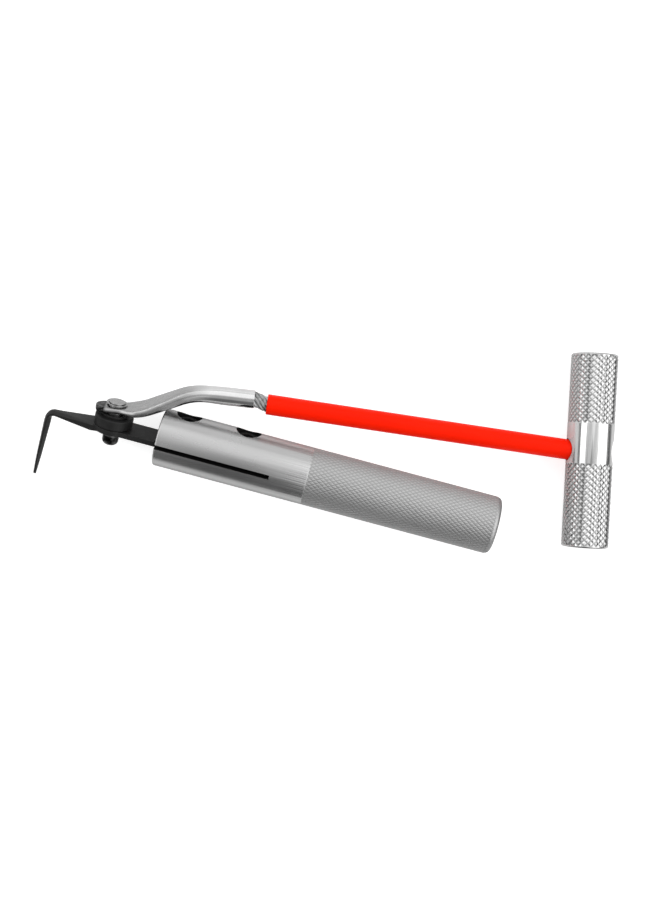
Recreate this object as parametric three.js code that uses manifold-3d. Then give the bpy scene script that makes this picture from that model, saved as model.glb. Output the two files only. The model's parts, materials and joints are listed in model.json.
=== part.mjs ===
// Windscreen cut-out knife: a slit, knurled handle clamps an L-shaped hook blade, and a pull cable with a
// T-handle swings on a pivot screw through the blade's eye. Units are millimetres.
//
// Model frame: X runs along the handle from the blade to the butt, the origin is the centre of the butt
// face, Z is up, and the tool lies on a bench at z = -HANDLE_RADIUS, touching it with the handle, the blade's
// tip and the T-handle.
//
// Tool frame, used for everything but the T-handle: x from the handle's front face to the butt, z along the
// pivot screw towards its head (the blade's leg points to -z), and y across both.

import * as THREE from "three";
import { mergeVertices } from "three/addons/utils/BufferGeometryUtils.js";
import Module from "manifold-3d";

const wasm = await Module();
wasm.setup();

// ---- Driving dimensions -------------------------------------------------------------------------------

const HANDLE_RADIUS = 14;
const HANDLE_LENGTH = 166.4;
const FRONT_EDGE = 0.8; // rounding of the front rim
const BUTT_EDGE = 2.4; // rounding of the butt rim
const SLIT_WIDTH = 2.2;
const SLIT_LENGTH = 56;

const CLAMP_AT = { front: 11.7, rear: 40.9 }; // the two clamp screws, from the front face
const CLAMP_SIDE = 1.6; // the clamp screws' offset from the handle's axis, along y
const COUNTERBORE_RADIUS = 6.2;
const COUNTERBORE_FLOOR = 4.5;
const CLAMP_THREAD_RADIUS = 3;
const CLAMP_HOLE_END = -11;
const CLAMP_HEAD = { radius: 5, height: 5, socket: 5, socketDepth: 3 };
const CLAMP_WASHER = { radius: 5.9, thickness: 1.4 };

const PIVOT_X = -23.3;
const PIVOT_RADIUS = 3.9;
const PIVOT_END = -10.4;
const PIVOT_HEAD = { flats: 8.4, from: 11.5, side: 0.4, top: 13.1, crown: 0.72 };
const PIVOT_POINT = { length: 2.2, crown: 0.9 }; // rounding of the shank's end
const HEAD_WASHER = { radius: 5, thickness: 0.4 };
const STRAP_WASHER = { radius: 6.4, thickness: 1.1 };
const SPACER = { radius: 9.2, thickness: 4.9 };

const PLATE = { low: -2.5, high: -0.1 }; // the blade's thickness round the pivot, along z
const EYE_RADIUS = 9.3;
const NECK_HALF_WIDTH = 8;
const TANG = { thickness: 1.6, halfWidth: 9.5, start: -1.2, length: 52, slotStart: 7.6, slotWidth: 7.4 };

const ARM_HEIGHT = -2.1; // middle of the blade's arm, along z
const ARM_WIDTH = { eye: 12, bend: 6 };
const ARM_THICKNESS = { eye: 3, bend: 2.7 };
const BEND_X = -54.6; // middle of the leg at its root
const BEND_RADIUS = 3;
const LEG_LEAN = THREE.MathUtils.degToRad(3.8); // the leg leans away from the handle
const LEG_THICKNESS = { root: 2.9, point: 1.9, tip: 1.3 };
const LEG_POINT = 10; // length of the spear point
const TIP_WIDTH = 0.8;
const BLADE_EDGE = { boss: 2.3, eye: 2.9, bend: 0.9, point: 0.6 }; // thickness along the blade's side edges
const BLADE_BEVEL = 1.8;
const BEVEL_LIMIT = 0.7; // the largest share of the half width that a bevel takes

const STRAP = { middle: 8.55, halfWidth: 5.5, halfThickness: 1.4, end: -9.5, nose: 5.5, noseWidth: 0.3 };
const STRAP_STRAIGHT = 5; // the strap is straight to here, from the pivot
const LUG_ROCK = THREE.MathUtils.degToRad(7); // the lug tips by this much on its loose pivot
const LUG_RADIUS = 4.35;
const LUG_WIDE = 8; // half width at the foot of the slope
const LUG_WIDENS = { from: 1, to: 11 }; // distances from the pivot
const LUG_NARROWS = { from: 13, to: 45 };
const LUG_THICKENS = { from: 3, to: 48 };
const LUG_HOLE_RADIUS = 4.5;
const LUG_SLOPE = THREE.MathUtils.degToRad(33);
const LUG_BEND = { r: 34.4, z: 25.2 }; // where the lug turns from its slope towards the cable
const LUG_BAR_SLOPE = THREE.MathUtils.degToRad(7.2);
const SLOPE_STRAIGHT = { from: 0.22, to: 0.76 }; // the slope's straight stretch, as shares of its length
const LUG_BEND_REACH = 7;
const LUG_END = 63.2; // distance of the lug's mouth from the pivot
const LUG_BORE = { radius: 3.4, start: 46 };

const ROPE_START = { r: 35.4, z: 24.9 }; // a point on the cable's straight line
const ROPE_RADIUS = 3.8;
const ROPE_SWAGED_RADIUS = 3; // inside the lug and inside the T-handle
const SLEEVE = { outer: 4.9, inner: 4.1, start: 69.4 };
const BEND_AT = 146; // the cable's modelled bend, from the pivot
const BEND_GAP = 2.1; // space on each side of it

const SWING = THREE.MathUtils.degToRad(5.04); // the pull cable's angle to the handle as it lies
const ROLL = THREE.MathUtils.degToRad(22.2); // the tool's roll about the handle, lying on the bench
const T_REACH = 225.9; // the T-handle's middle, from the pivot
const T_RADIUS = 11.25;
const T_LENGTH = 94;
const T_EDGE = 1;
const T_DOME = 0.5; // bulge of the end faces
const T_HEADING = THREE.MathUtils.degToRad(11.8); // the bar's heading on the bench, from +Y towards -X
const T_ENTRY = { radius: 5.4, depth: 4.2 }; // the hole that takes the sleeve's end
const T_WEB = 3; // wall that the stop pulls against
const T_WEB_HOLE = 4.2;
const T_COUNTERBORE = 7;
const SLEEVE_INTO_T = 2.4;
const STOP_WASHER = { radius: 5.6, thickness: 1.2, gap: 0.8 };
const FERRULE = { radius: 4.9, length: 7.5 };

const RUN = 0.3; // clearance round a screw in its hole
const SEAT = 0.1; // gap between two pieces that rest on each other
const ROUND = 48; // facets of a large round surface
const SMALL_ROUND = 28;

// ---- Materials ----------------------------------------------------------------------------------------

const metal = (color, roughness) => new THREE.MeshStandardMaterial({ color, roughness, metalness: 1 });

const satinAluminium = metal(0xc9cacb, 0.38);
const knurledSteel = metal(0xcfcfcd, 0.3);
const brightSteel = metal(0xd2d2d0, 0.22);
const ropeSteel = metal(0x8f8f8d, 0.5);
const blackOxide = new THREE.MeshStandardMaterial({ color: 0x232324, roughness: 0.5, metalness: 0.6 });
const redSleeve = new THREE.MeshStandardMaterial({ color: 0xff2a05, roughness: 0.35, metalness: 0 });

// ---- Solids -------------------------------------------------------------------------------------------

function solidOf(geometry) {
  const bare = geometry.index ? geometry.toNonIndexed() : geometry.clone();
  bare.deleteAttribute("normal");
  bare.deleteAttribute("uv");
  const merged = mergeVertices(bare, 1e-4);
  return new wasm.Manifold(
    new wasm.Mesh({
      numProp: 3,
      vertProperties: merged.attributes.position.array,
      triVerts: new Uint32Array(merged.index.array),
    }),
  );
}

function geometryOf(solid) {
  const mesh = solid.getMesh();
  const geometry = new THREE.BufferGeometry();
  geometry.setAttribute("position", new THREE.BufferAttribute(mesh.vertProperties, 3));
  geometry.setIndex(new THREE.BufferAttribute(mesh.triVerts, 1));
  geometry.computeVertexNormals();
  return geometry;
}

const cut = (geometry, ...tools) =>
  geometryOf(tools.reduce((left, tool) => left.subtract(solidOf(tool)), solidOf(geometry)));

const join = (geometry, ...others) =>
  geometryOf(others.reduce((sum, other) => sum.add(solidOf(other)), solidOf(geometry)));

const common = (geometry, other) => geometryOf(solidOf(geometry).intersect(solidOf(other)));

// A round bar along z, from low to high.
function rod(radius, low, high, facets = SMALL_ROUND) {
  return new THREE.CylinderGeometry(radius, radius, high - low, facets)
    .rotateX(Math.PI / 2)
    .translate(0, 0, (low + high) / 2);
}

// A round tube along z, open at both ends.
const tube = (outer, inner, low, high, facets = SMALL_ROUND) =>
  cut(rod(outer, low, high, facets), rod(inner, low - 1, high + 1, facets));

function box(x, y, z) {
  return new THREE.BoxGeometry(x[1] - x[0], y[1] - y[0], z[1] - z[0]).translate(
    (x[0] + x[1]) / 2,
    (y[0] + y[1]) / 2,
    (z[0] + z[1]) / 2,
  );
}

// A body turned about z, from a path of radius against height that starts and ends on the axis.
function turned(path, facets = ROUND) {
  return new THREE.LatheGeometry(path.getPoints(4), facets).rotateX(Math.PI / 2);
}

const alongX = (geometry) => geometry.rotateY(Math.PI / 2);

// A closed body through rings of points, each ring with as many points as the next.
function loft(rings) {
  const count = rings[0].length;
  const points = rings.flat();
  const index = [];
  for (let ring = 0; ring + 1 < rings.length; ring++)
    for (let k = 0; k < count; k++) {
      const a = ring * count + k;
      const b = ring * count + ((k + 1) % count);
      index.push(a, b, b + count, a, b + count, a + count);
    }
  const last = (rings.length - 1) * count;
  for (let k = 1; k + 1 < count; k++) {
    index.push(0, k + 1, k);
    index.push(last, last + k, last + k + 1);
  }
  const geometry = new THREE.BufferGeometry().setFromPoints(points);
  geometry.setIndex(index);
  return geometry;
}

// ---- Handle and clamp screws --------------------------------------------------------------------------

function handleBody() {
  const outline = new THREE.Path()
    .moveTo(0, 0)
    .lineTo(HANDLE_RADIUS - FRONT_EDGE, 0)
    .absarc(HANDLE_RADIUS - FRONT_EDGE, FRONT_EDGE, FRONT_EDGE, -Math.PI / 2, 0)
    .lineTo(HANDLE_RADIUS, HANDLE_LENGTH - BUTT_EDGE)
    .absarc(HANDLE_RADIUS - BUTT_EDGE, HANDLE_LENGTH - BUTT_EDGE, BUTT_EDGE, 0, Math.PI / 2)
    .lineTo(0, HANDLE_LENGTH);
  const side = [-2 * HANDLE_RADIUS, 2 * HANDLE_RADIUS];
  const slit = box([-1, SLIT_LENGTH], side, [-SLIT_WIDTH / 2, SLIT_WIDTH / 2]);
  const holes = Object.values(CLAMP_AT).flatMap((x) => [
    rod(COUNTERBORE_RADIUS, COUNTERBORE_FLOOR, 2 * HANDLE_RADIUS).translate(x, CLAMP_SIDE, 0),
    rod(CLAMP_THREAD_RADIUS + RUN, CLAMP_HOLE_END, COUNTERBORE_FLOOR + 1).translate(x, CLAMP_SIDE, 0),
  ]);
  return cut(alongX(turned(outline, 64)), slit, ...holes);
}

// A socket-head screw whose head sits on its washer, which sits on the counterbore's floor.
function clampScrew() {
  const seat = COUNTERBORE_FLOOR + CLAMP_WASHER.thickness + 2 * SEAT;
  const top = seat + CLAMP_HEAD.height;
  const screw = join(
    rod(CLAMP_HEAD.radius, seat, top),
    rod(CLAMP_THREAD_RADIUS, CLAMP_HOLE_END + 1, seat + 1),
  );
  const socketRadius = CLAMP_HEAD.socket / Math.sqrt(3);
  return cut(screw, rod(socketRadius, top - CLAMP_HEAD.socketDepth, top + 1, 6));
}

function clampWasher() {
  const low = COUNTERBORE_FLOOR + SEAT;
  return tube(CLAMP_WASHER.radius, CLAMP_THREAD_RADIUS + RUN, low, low + CLAMP_WASHER.thickness);
}

// ---- Hook blade ---------------------------------------------------------------------------------------

// The fork that slides into the slit and straddles both clamp screws.
function tang() {
  const { halfWidth, start, length, slotStart, slotWidth, thickness } = TANG;
  const low = CLAMP_SIDE - slotWidth / 2;
  const high = CLAMP_SIDE + slotWidth / 2;
  const outline = new THREE.Shape()
    .moveTo(start, -NECK_HALF_WIDTH)
    .lineTo(0, -NECK_HALF_WIDTH)
    .lineTo(2 * RUN, -halfWidth)
    .lineTo(length, -halfWidth)
    .lineTo(length, low)
    .lineTo(slotStart + slotWidth / 2, low)
    .absarc(slotStart + slotWidth / 2, CLAMP_SIDE, slotWidth / 2, -Math.PI / 2, Math.PI / 2, true)
    .lineTo(length, high)
    .lineTo(length, halfWidth)
    .lineTo(2 * RUN, halfWidth)
    .lineTo(0, NECK_HALF_WIDTH)
    .lineTo(start, NECK_HALF_WIDTH);
  return new THREE.ExtrudeGeometry(outline, {
    depth: thickness,
    bevelEnabled: false,
    curveSegments: 6,
  }).translate(0, 0, -thickness / 2);
}

// Eight points round the blade's section at a station of its path. Both side edges are bevelled.
function bladeSection({ x, z, turn, width, thickness, edge }) {
  const half = width / 2;
  const flat = half - Math.min(BLADE_BEVEL, half * BEVEL_LIMIT);
  const outline = [
    [flat, thickness / 2],
    [half, edge / 2],
    [half, -edge / 2],
    [flat, -thickness / 2],
    [-flat, -thickness / 2],
    [-half, -edge / 2],
    [-half, edge / 2],
    [-flat, thickness / 2],
  ];
  return outline.map(
    ([side, up]) => new THREE.Vector3(x - up * Math.sin(turn), side, z + up * Math.cos(turn)),
  );
}

// The arm runs forwards from the boss, bends by a little under a right angle, and the leg ends in a point.
function armAndLeg() {
  const bend = Math.PI / 2 - LEG_LEAN;
  const centre = { x: BEND_X + BEND_RADIUS, z: ARM_HEIGHT - BEND_RADIUS };
  const tipZ = ((TIP_WIDTH / 2) * Math.cos(ROLL) - HANDLE_RADIUS) / Math.sin(ROLL);
  const stations = [
    {
      x: PIVOT_X - RUN,
      z: (PLATE.low + PLATE.high) / 2,
      turn: 0,
      width: ARM_WIDTH.eye,
      thickness: PLATE.high - PLATE.low,
      edge: BLADE_EDGE.boss,
    },
    {
      x: PIVOT_X - EYE_RADIUS,
      z: ARM_HEIGHT,
      turn: 0,
      width: ARM_WIDTH.eye,
      thickness: ARM_THICKNESS.eye,
      edge: BLADE_EDGE.eye,
    },
  ];
  const steps = 6;
  for (let k = 0; k <= steps; k++) {
    const turn = (bend * k) / steps;
    stations.push({
      x: centre.x - BEND_RADIUS * Math.sin(turn),
      z: centre.z + BEND_RADIUS * Math.cos(turn),
      turn,
      width: ARM_WIDTH.bend,
      thickness: ARM_THICKNESS.bend,
      edge: BLADE_EDGE.bend,
    });
  }
  const root = stations.at(-1);
  const length = (root.z - tipZ) / Math.cos(LEG_LEAN);
  const downLeg = (distance, width, thickness, edge) => ({
    x: root.x - Math.sin(LEG_LEAN) * distance,
    z: root.z - Math.cos(LEG_LEAN) * distance,
    turn: bend,
    width,
    thickness,
    edge,
  });
  stations.push(
    downLeg(2, ARM_WIDTH.bend, LEG_THICKNESS.root, BLADE_EDGE.bend),
    downLeg(length - LEG_POINT, ARM_WIDTH.bend, LEG_THICKNESS.point, BLADE_EDGE.point),
    downLeg(length, TIP_WIDTH, LEG_THICKNESS.tip, BLADE_EDGE.point),
  );
  return loft(stations.map(bladeSection));
}

// The round eye that the pivot screw passes through, and the neck that butts against the handle's face.
function eyeAndNeck() {
  const eye = rod(EYE_RADIUS, PLATE.low, PLATE.high, ROUND).translate(PIVOT_X, 0, 0);
  const neck = box([PIVOT_X, -RUN], [-NECK_HALF_WIDTH, NECK_HALF_WIDTH], [PLATE.low, PLATE.high]);
  return join(eye, neck);
}

function hookBlade() {
  const pivotHole = rod(PIVOT_RADIUS + RUN, -20, 20).translate(PIVOT_X, 0, 0);
  return cut(join(eyeAndNeck(), tang(), armAndLeg()), pivotHole);
}

// ---- Pivot --------------------------------------------------------------------------------------------

// A low hexagon head whose corners run out into a dome, on a plain shank with a rounded end.
function pivotScrew() {
  const { flats, from, side, top, crown } = PIVOT_HEAD;
  const corner = flats / Math.sqrt(3);
  const dome = new THREE.Path()
    .moveTo(0, from)
    .lineTo(corner, from)
    .lineTo(corner, from + side)
    .quadraticCurveTo(corner * crown, top, 0, top);
  const shankTop = (from + top) / 2;
  const roundedFrom = PIVOT_END + PIVOT_POINT.length;
  const shank = new THREE.Path()
    .moveTo(0, PIVOT_END)
    .quadraticCurveTo(PIVOT_RADIUS * PIVOT_POINT.crown, PIVOT_END, PIVOT_RADIUS, roundedFrom)
    .lineTo(PIVOT_RADIUS, shankTop)
    .lineTo(0, shankTop);
  return join(common(rod(corner, from, top + 1, 6), turned(dome)), turned(shank, SMALL_ROUND));
}

// A ring round the pivot screw, standing on the height given.
function pivotRing({ radius, thickness }, low) {
  return tube(radius, PIVOT_RADIUS + RUN, low, low + thickness, ROUND);
}

// ---- Pull cable, in the swung frame: x is the distance r from the pivot, z the same as the tool's --------

const ropeFar = {
  r: T_REACH,
  z: (T_RADIUS - HANDLE_RADIUS + T_REACH * Math.sin(SWING) * Math.cos(ROLL)) / Math.sin(ROLL),
};
const ROPE_SLOPE = Math.atan2(ropeFar.z - ROPE_START.z, ropeFar.r - ROPE_START.r);

// A point at distance r from the pivot, on the line through a place at a slope.
const onLine = (place, slope, r) => new THREE.Vector3(r, 0, place.z + (r - place.r) * Math.tan(slope));
const onRope = (r) => onLine(ROPE_START, ROPE_SLOPE, r);
const onBar = (r) => onLine(LUG_BEND, LUG_BAR_SLOPE, r);

// Puts a body made along +z, measured from a place, onto the line through that place.
const ontoLine = (geometry, place, slope) =>
  geometry.rotateY(Math.PI / 2 - slope).translate(place.r, 0, place.z);
const ontoRope = (geometry) => ontoLine(geometry, ROPE_START, ROPE_SLOPE);

// Distance along the cable's line, from its start, of the point at distance r from the pivot.
const along = (r) => (r - ROPE_START.r) / Math.cos(ROPE_SLOPE);

// Where two lines in the r-z plane cross, each given by a point and a slope.
function crossing(a, slopeA, b, slopeB) {
  const r = (b.z - a.z + slopeA * a.r - slopeB * b.r) / (slopeA - slopeB);
  return { r, z: a.z + slopeA * (r - a.r) };
}

// The lug's middle line: a tipped flat on the pivot, up a slope over the handle's rim, then a straight bar.
function lugLine() {
  const at = ({ r, z }) => new THREE.Vector3(r, 0, z);
  const pivotPoint = { r: 0, z: STRAP.middle };
  const foot = crossing(pivotPoint, Math.tan(LUG_ROCK), LUG_BEND, Math.tan(LUG_SLOPE));
  const onStrap = (r) => onLine(pivotPoint, LUG_ROCK, r);
  const slopeStart = at(foot).lerp(at(LUG_BEND), SLOPE_STRAIGHT.from);
  const slopeEnd = at(foot).lerp(at(LUG_BEND), SLOPE_STRAIGHT.to);
  const barStart = onBar(LUG_BEND.r + LUG_BEND_REACH);
  const line = new THREE.CurvePath();
  line.add(new THREE.LineCurve3(onStrap(STRAP.end), onStrap(STRAP_STRAIGHT)));
  line.add(new THREE.QuadraticBezierCurve3(onStrap(STRAP_STRAIGHT), at(foot), slopeStart));
  line.add(new THREE.LineCurve3(slopeStart, slopeEnd));
  line.add(new THREE.QuadraticBezierCurve3(slopeEnd, at(LUG_BEND), barStart));
  line.add(new THREE.LineCurve3(barStart, onBar(LUG_END)));
  return line;
}

// A tube section pressed flat at the pivot end and round towards the cable.
function lugSection(point, tangent, halfWidth, halfThickness) {
  const up = new THREE.Vector3(-tangent.z, 0, tangent.x);
  const count = 20;
  return Array.from({ length: count }, (_, k) => {
    const angle = ((k + 0.5) / count) * 2 * Math.PI;
    const side = (halfWidth - halfThickness) * Math.sign(Math.cos(angle)) + halfThickness * Math.cos(angle);
    return point
      .clone()
      .addScaledVector(up, halfThickness * Math.sin(angle))
      .add(new THREE.Vector3(0, side, 0));
  });
}

// The lug's half width and half thickness at distance r from the pivot. Its nose is rounded in plan.
function lugSize(r) {
  const { halfWidth, halfThickness, end, nose, noseWidth } = STRAP;
  const { lerp, smoothstep, clamp, mapLinear } = THREE.MathUtils;
  const share = ({ from, to }) => smoothstep(r, from, to);
  const thickening = clamp(mapLinear(r, LUG_THICKENS.from, LUG_THICKENS.to, 0, 1), 0, 1);
  const back = 1 - clamp((r - end) / nose, 0, 1);
  const plan = halfWidth * lerp(noseWidth, 1, Math.sqrt(1 - back * back));
  const wide = lerp(plan, LUG_WIDE, share(LUG_WIDENS));
  return {
    width: lerp(wide, LUG_RADIUS, share(LUG_NARROWS)),
    thickness: lerp(halfThickness, LUG_RADIUS, thickening),
  };
}

function cableLug() {
  const line = lugLine();
  const count = 34;
  const rings = [];
  for (let k = 0; k <= count; k++) {
    const point = line.getPointAt(k / count);
    const { width, thickness } = lugSize(point.x);
    rings.push(lugSection(point, line.getTangentAt(k / count), width, thickness));
  }
  const eye = rod(LUG_HOLE_RADIUS, -20, 20);
  const alongBar = (r) => (r - LUG_BEND.r) / Math.cos(LUG_BAR_SLOPE);
  const bore = rod(LUG_BORE.radius, alongBar(LUG_BORE.start), alongBar(LUG_END) + 5);
  return cut(loft(rings), eye, ontoLine(bore, LUG_BEND, LUG_BAR_SLOPE));
}

// The rope leaves the lug's bar and dips to the sleeve. Its end is swaged thinner inside the lug.
function cableFront() {
  const ring = (point, slope, radius) => {
    const direction = new THREE.Vector3(Math.cos(slope), 0, Math.sin(slope));
    return lugSection(point, direction, radius, radius);
  };
  const rings = [
    ring(onBar(LUG_BORE.start + RUN), LUG_BAR_SLOPE, ROPE_SWAGED_RADIUS),
    ring(onBar(LUG_END + RUN), LUG_BAR_SLOPE, ROPE_SWAGED_RADIUS),
    ring(onBar(LUG_END + 2 * RUN), LUG_BAR_SLOPE, ROPE_RADIUS),
  ];
  const steps = 5;
  for (let k = 1; k <= steps; k++) {
    const r = THREE.MathUtils.lerp(LUG_END + 2 * RUN, SLEEVE.start, k / steps);
    const share = THREE.MathUtils.smoothstep(k, 0, steps);
    rings.push(ring(onBar(r).lerp(onRope(r), share), ROPE_SLOPE, ROPE_RADIUS));
  }
  const end = BEND_AT - BEND_GAP * Math.cos(ROPE_SLOPE);
  rings.push(ring(onRope(end), ROPE_SLOPE, ROPE_RADIUS));
  return loft(rings);
}

const sleeveFront = () =>
  ontoRope(tube(SLEEVE.outer, SLEEVE.inner, along(SLEEVE.start), along(BEND_AT) - BEND_GAP));

// The cable enters the T-handle here, on the bar's near surface.
const T_NEAR = along(T_REACH) - T_RADIUS;
const T_STOP = T_NEAR + T_ENTRY.depth + T_WEB + STOP_WASHER.gap; // where the stop washer begins

function cableRear() {
  const full = ontoRope(rod(ROPE_RADIUS, along(BEND_AT) + BEND_GAP, T_NEAR + SLEEVE_INTO_T));
  const end = T_STOP + STOP_WASHER.thickness + SEAT + FERRULE.length;
  return join(full, ontoRope(rod(ROPE_SWAGED_RADIUS, T_NEAR, end)));
}

const sleeveRear = () =>
  ontoRope(tube(SLEEVE.outer, SLEEVE.inner, along(BEND_AT) + BEND_GAP, T_NEAR + SLEEVE_INTO_T));

const stopWasher = () =>
  ontoRope(
    tube(STOP_WASHER.radius, ROPE_SWAGED_RADIUS + RUN, T_STOP, T_STOP + STOP_WASHER.thickness),
  );

function stopFerrule() {
  const low = T_STOP + STOP_WASHER.thickness + SEAT;
  return ontoRope(tube(FERRULE.radius, ROPE_SWAGED_RADIUS + RUN, low, low + FERRULE.length));
}

// ---- T-handle, in its own frame: z along the bar, x through the cross hole, origin at the bar's middle ----

function tBar() {
  const half = T_LENGTH / 2;
  const shoulder = half - T_DOME - T_EDGE;
  const outline = new THREE.Path()
    .moveTo(0, -half)
    .quadraticCurveTo((T_RADIUS - T_EDGE) / 2, -half, T_RADIUS - T_EDGE, -half + T_DOME)
    .absarc(T_RADIUS - T_EDGE, -shoulder, T_EDGE, -Math.PI / 2, 0)
    .lineTo(T_RADIUS, shoulder)
    .absarc(T_RADIUS - T_EDGE, shoulder, T_EDGE, 0, Math.PI / 2)
    .quadraticCurveTo((T_RADIUS - T_EDGE) / 2, half, 0, half);
  const webStart = -T_RADIUS + T_ENTRY.depth;
  const webEnd = webStart + T_WEB;
  return cut(
    turned(outline),
    alongX(rod(T_ENTRY.radius, -2 * T_RADIUS, webStart)),
    alongX(rod(T_WEB_HOLE, webStart - 1, webEnd + 1)),
    alongX(rod(T_COUNTERBORE, webEnd, 2 * T_RADIUS)),
  );
}

// ---- Assembly -----------------------------------------------------------------------------------------

function piece(name, geometry, material) {
  const mesh = new THREE.Mesh(geometry, material);
  mesh.name = name;
  return mesh;
}

const headWasherLow = PIVOT_HEAD.from - SEAT - HEAD_WASHER.thickness;
const knife = new THREE.Group();
knife.position.x = -HANDLE_LENGTH;
knife.rotation.x = ROLL - Math.PI / 2;
knife.add(piece("handle_body", handleBody(), satinAluminium), piece("hook_blade", hookBlade(), blackOxide));
for (const [place, x] of Object.entries(CLAMP_AT)) {
  const screw = piece(`clamp_screw_${place}`, clampScrew(), blackOxide);
  const washer = piece(`clamp_washer_${place}`, clampWasher(), blackOxide);
  for (const mesh of [screw, washer]) {
    mesh.position.set(x, CLAMP_SIDE, 0);
    knife.add(mesh);
  }
}

const pivot = new THREE.Group();
pivot.position.x = PIVOT_X;
pivot.add(
  piece("pivot_screw", pivotScrew(), brightSteel),
  piece("pivot_head_washer", pivotRing(HEAD_WASHER, headWasherLow), brightSteel),
  piece("pivot_strap_washer", pivotRing(STRAP_WASHER, SPACER.thickness + SEAT), blackOxide),
  piece("pivot_spacer", pivotRing(SPACER, 0), blackOxide),
);
knife.add(pivot);

const pull = new THREE.Group();
pull.rotation.z = SWING;
pull.add(
  piece("cable_lug", cableLug(), brightSteel),
  piece("cable_front", cableFront(), ropeSteel),
  piece("sleeve_front", sleeveFront(), redSleeve),
  piece("cable_rear", cableRear(), ropeSteel),
  piece("sleeve_rear", sleeveRear(), redSleeve),
  piece("stop_washer", stopWasher(), brightSteel),
  piece("stop_ferrule", stopFerrule(), brightSteel),
);
pivot.add(pull);

// The bar lies flat on the bench, with its cross hole as close to the cable's line as that allows. It rocks
// about the point where the cable enters it.
function placeBar(bar) {
  knife.updateMatrixWorld(true);
  const ropeStart = pull.localToWorld(onRope(ROPE_START.r));
  const ropeLine = pull.localToWorld(onRope(T_REACH)).sub(ropeStart).normalize();
  const entry = ropeStart.clone().addScaledVector(ropeLine, T_NEAR);
  const barLine = new THREE.Vector3(-Math.sin(T_HEADING), Math.cos(T_HEADING), 0);
  const holeLine = ropeLine.clone().addScaledVector(barLine, -ropeLine.dot(barLine)).normalize();
  const third = barLine.clone().cross(holeLine);
  bar.applyMatrix4(new THREE.Matrix4().makeBasis(holeLine, third, barLine));
  bar.position.copy(entry.addScaledVector(holeLine, T_RADIUS));
  return bar;
}

const object = new THREE.Group();
object.add(knife, placeBar(piece("t_bar", tBar(), knurledSteel)));

export default object;
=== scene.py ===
"""The looks of a windscreen cut-out knife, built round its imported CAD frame.

Shapes are written in millimetres in four local frames and placed in metres: the tool frame (x from the
handle's front face to its butt, z along the pivot screw), the pull frame (x from the pivot along the
cable's lug, z along the pivot screw), the cable frame (x along the cable, origin where it enters the
T-handle) and the bar frame (x along the T-handle).
"""

import json
import math

import bmesh
import bpy
import numpy as np
from mathutils import Matrix, Vector


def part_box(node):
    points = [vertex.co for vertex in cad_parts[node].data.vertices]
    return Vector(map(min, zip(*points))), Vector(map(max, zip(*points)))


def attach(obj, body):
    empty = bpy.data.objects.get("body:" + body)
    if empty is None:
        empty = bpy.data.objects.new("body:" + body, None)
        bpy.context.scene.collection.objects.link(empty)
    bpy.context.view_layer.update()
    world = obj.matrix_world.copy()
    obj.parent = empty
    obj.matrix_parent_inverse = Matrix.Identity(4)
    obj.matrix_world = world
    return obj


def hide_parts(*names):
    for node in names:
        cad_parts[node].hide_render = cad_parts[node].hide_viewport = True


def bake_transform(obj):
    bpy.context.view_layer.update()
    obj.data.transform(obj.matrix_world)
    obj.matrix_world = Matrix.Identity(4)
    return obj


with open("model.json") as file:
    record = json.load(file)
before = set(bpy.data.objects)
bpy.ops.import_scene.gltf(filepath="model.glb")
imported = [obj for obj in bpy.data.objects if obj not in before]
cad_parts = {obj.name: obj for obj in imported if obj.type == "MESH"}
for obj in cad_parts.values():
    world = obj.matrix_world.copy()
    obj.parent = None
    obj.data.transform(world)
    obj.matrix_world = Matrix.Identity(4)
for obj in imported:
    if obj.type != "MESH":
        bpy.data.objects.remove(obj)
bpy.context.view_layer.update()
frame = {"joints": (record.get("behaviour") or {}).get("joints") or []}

MM = 0.001
SHARP = math.radians(32)
SHARP_KNURL = math.radians(24)
SHARP_COARSE_KNURL = math.radians(20)
SHARP_ROPE = math.radians(70)
FINE = 96  # columns of a small round body
BEYOND = 1  # how far a cutter reaches past the face it opens
THROUGH = 20  # how far a cutter reaches each way when it goes right through

# ---- Sizes in millimetres -----------------------------------------------------------------------------

FRONT_EDGE = 0.8
BUTT_EDGE = 2.4
SLIT_WIDTH = 2.2
SLIT_LENGTH = 56
CLAMP_SIDE = 1.6
COUNTERBORE_RADIUS = 6.2
COUNTERBORE_FLOOR = 4.5
CLAMP_BORE_RADIUS = 3.3
CLAMP_BORE_END = -11
GRIP_START = 73.2
GRIP_RUN_IN = 0.2
GRIP_KNURL = {"starts": 46, "row": 1.5, "depth": 0.18, "flat": 0.3}
SKIN = 0.8  # faces deeper than this below the bar's outside are the slit's and the bores'

BAR_LENGTH = 94
BAR_BAND = (-6.3, 12.9)  # the polished band, along the bar from its middle
BAR_KNURL = {"starts": 24, "row": 1.35, "depth": 0.3, "flat": 0.16}
BAR_RUN_IN = 0.3
BAR_END_SLOPE = math.radians(12)
BAR_HEADING = math.radians(11.8)
BAR_EDGE = 1
BAR_DOME = 0.5
BAR_ENTRY = {"radius": 5.4, "depth": 4.2}
BAR_WEB = {"thickness": 3, "hole": 4.2}
BAR_COUNTERBORE = 7

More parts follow.
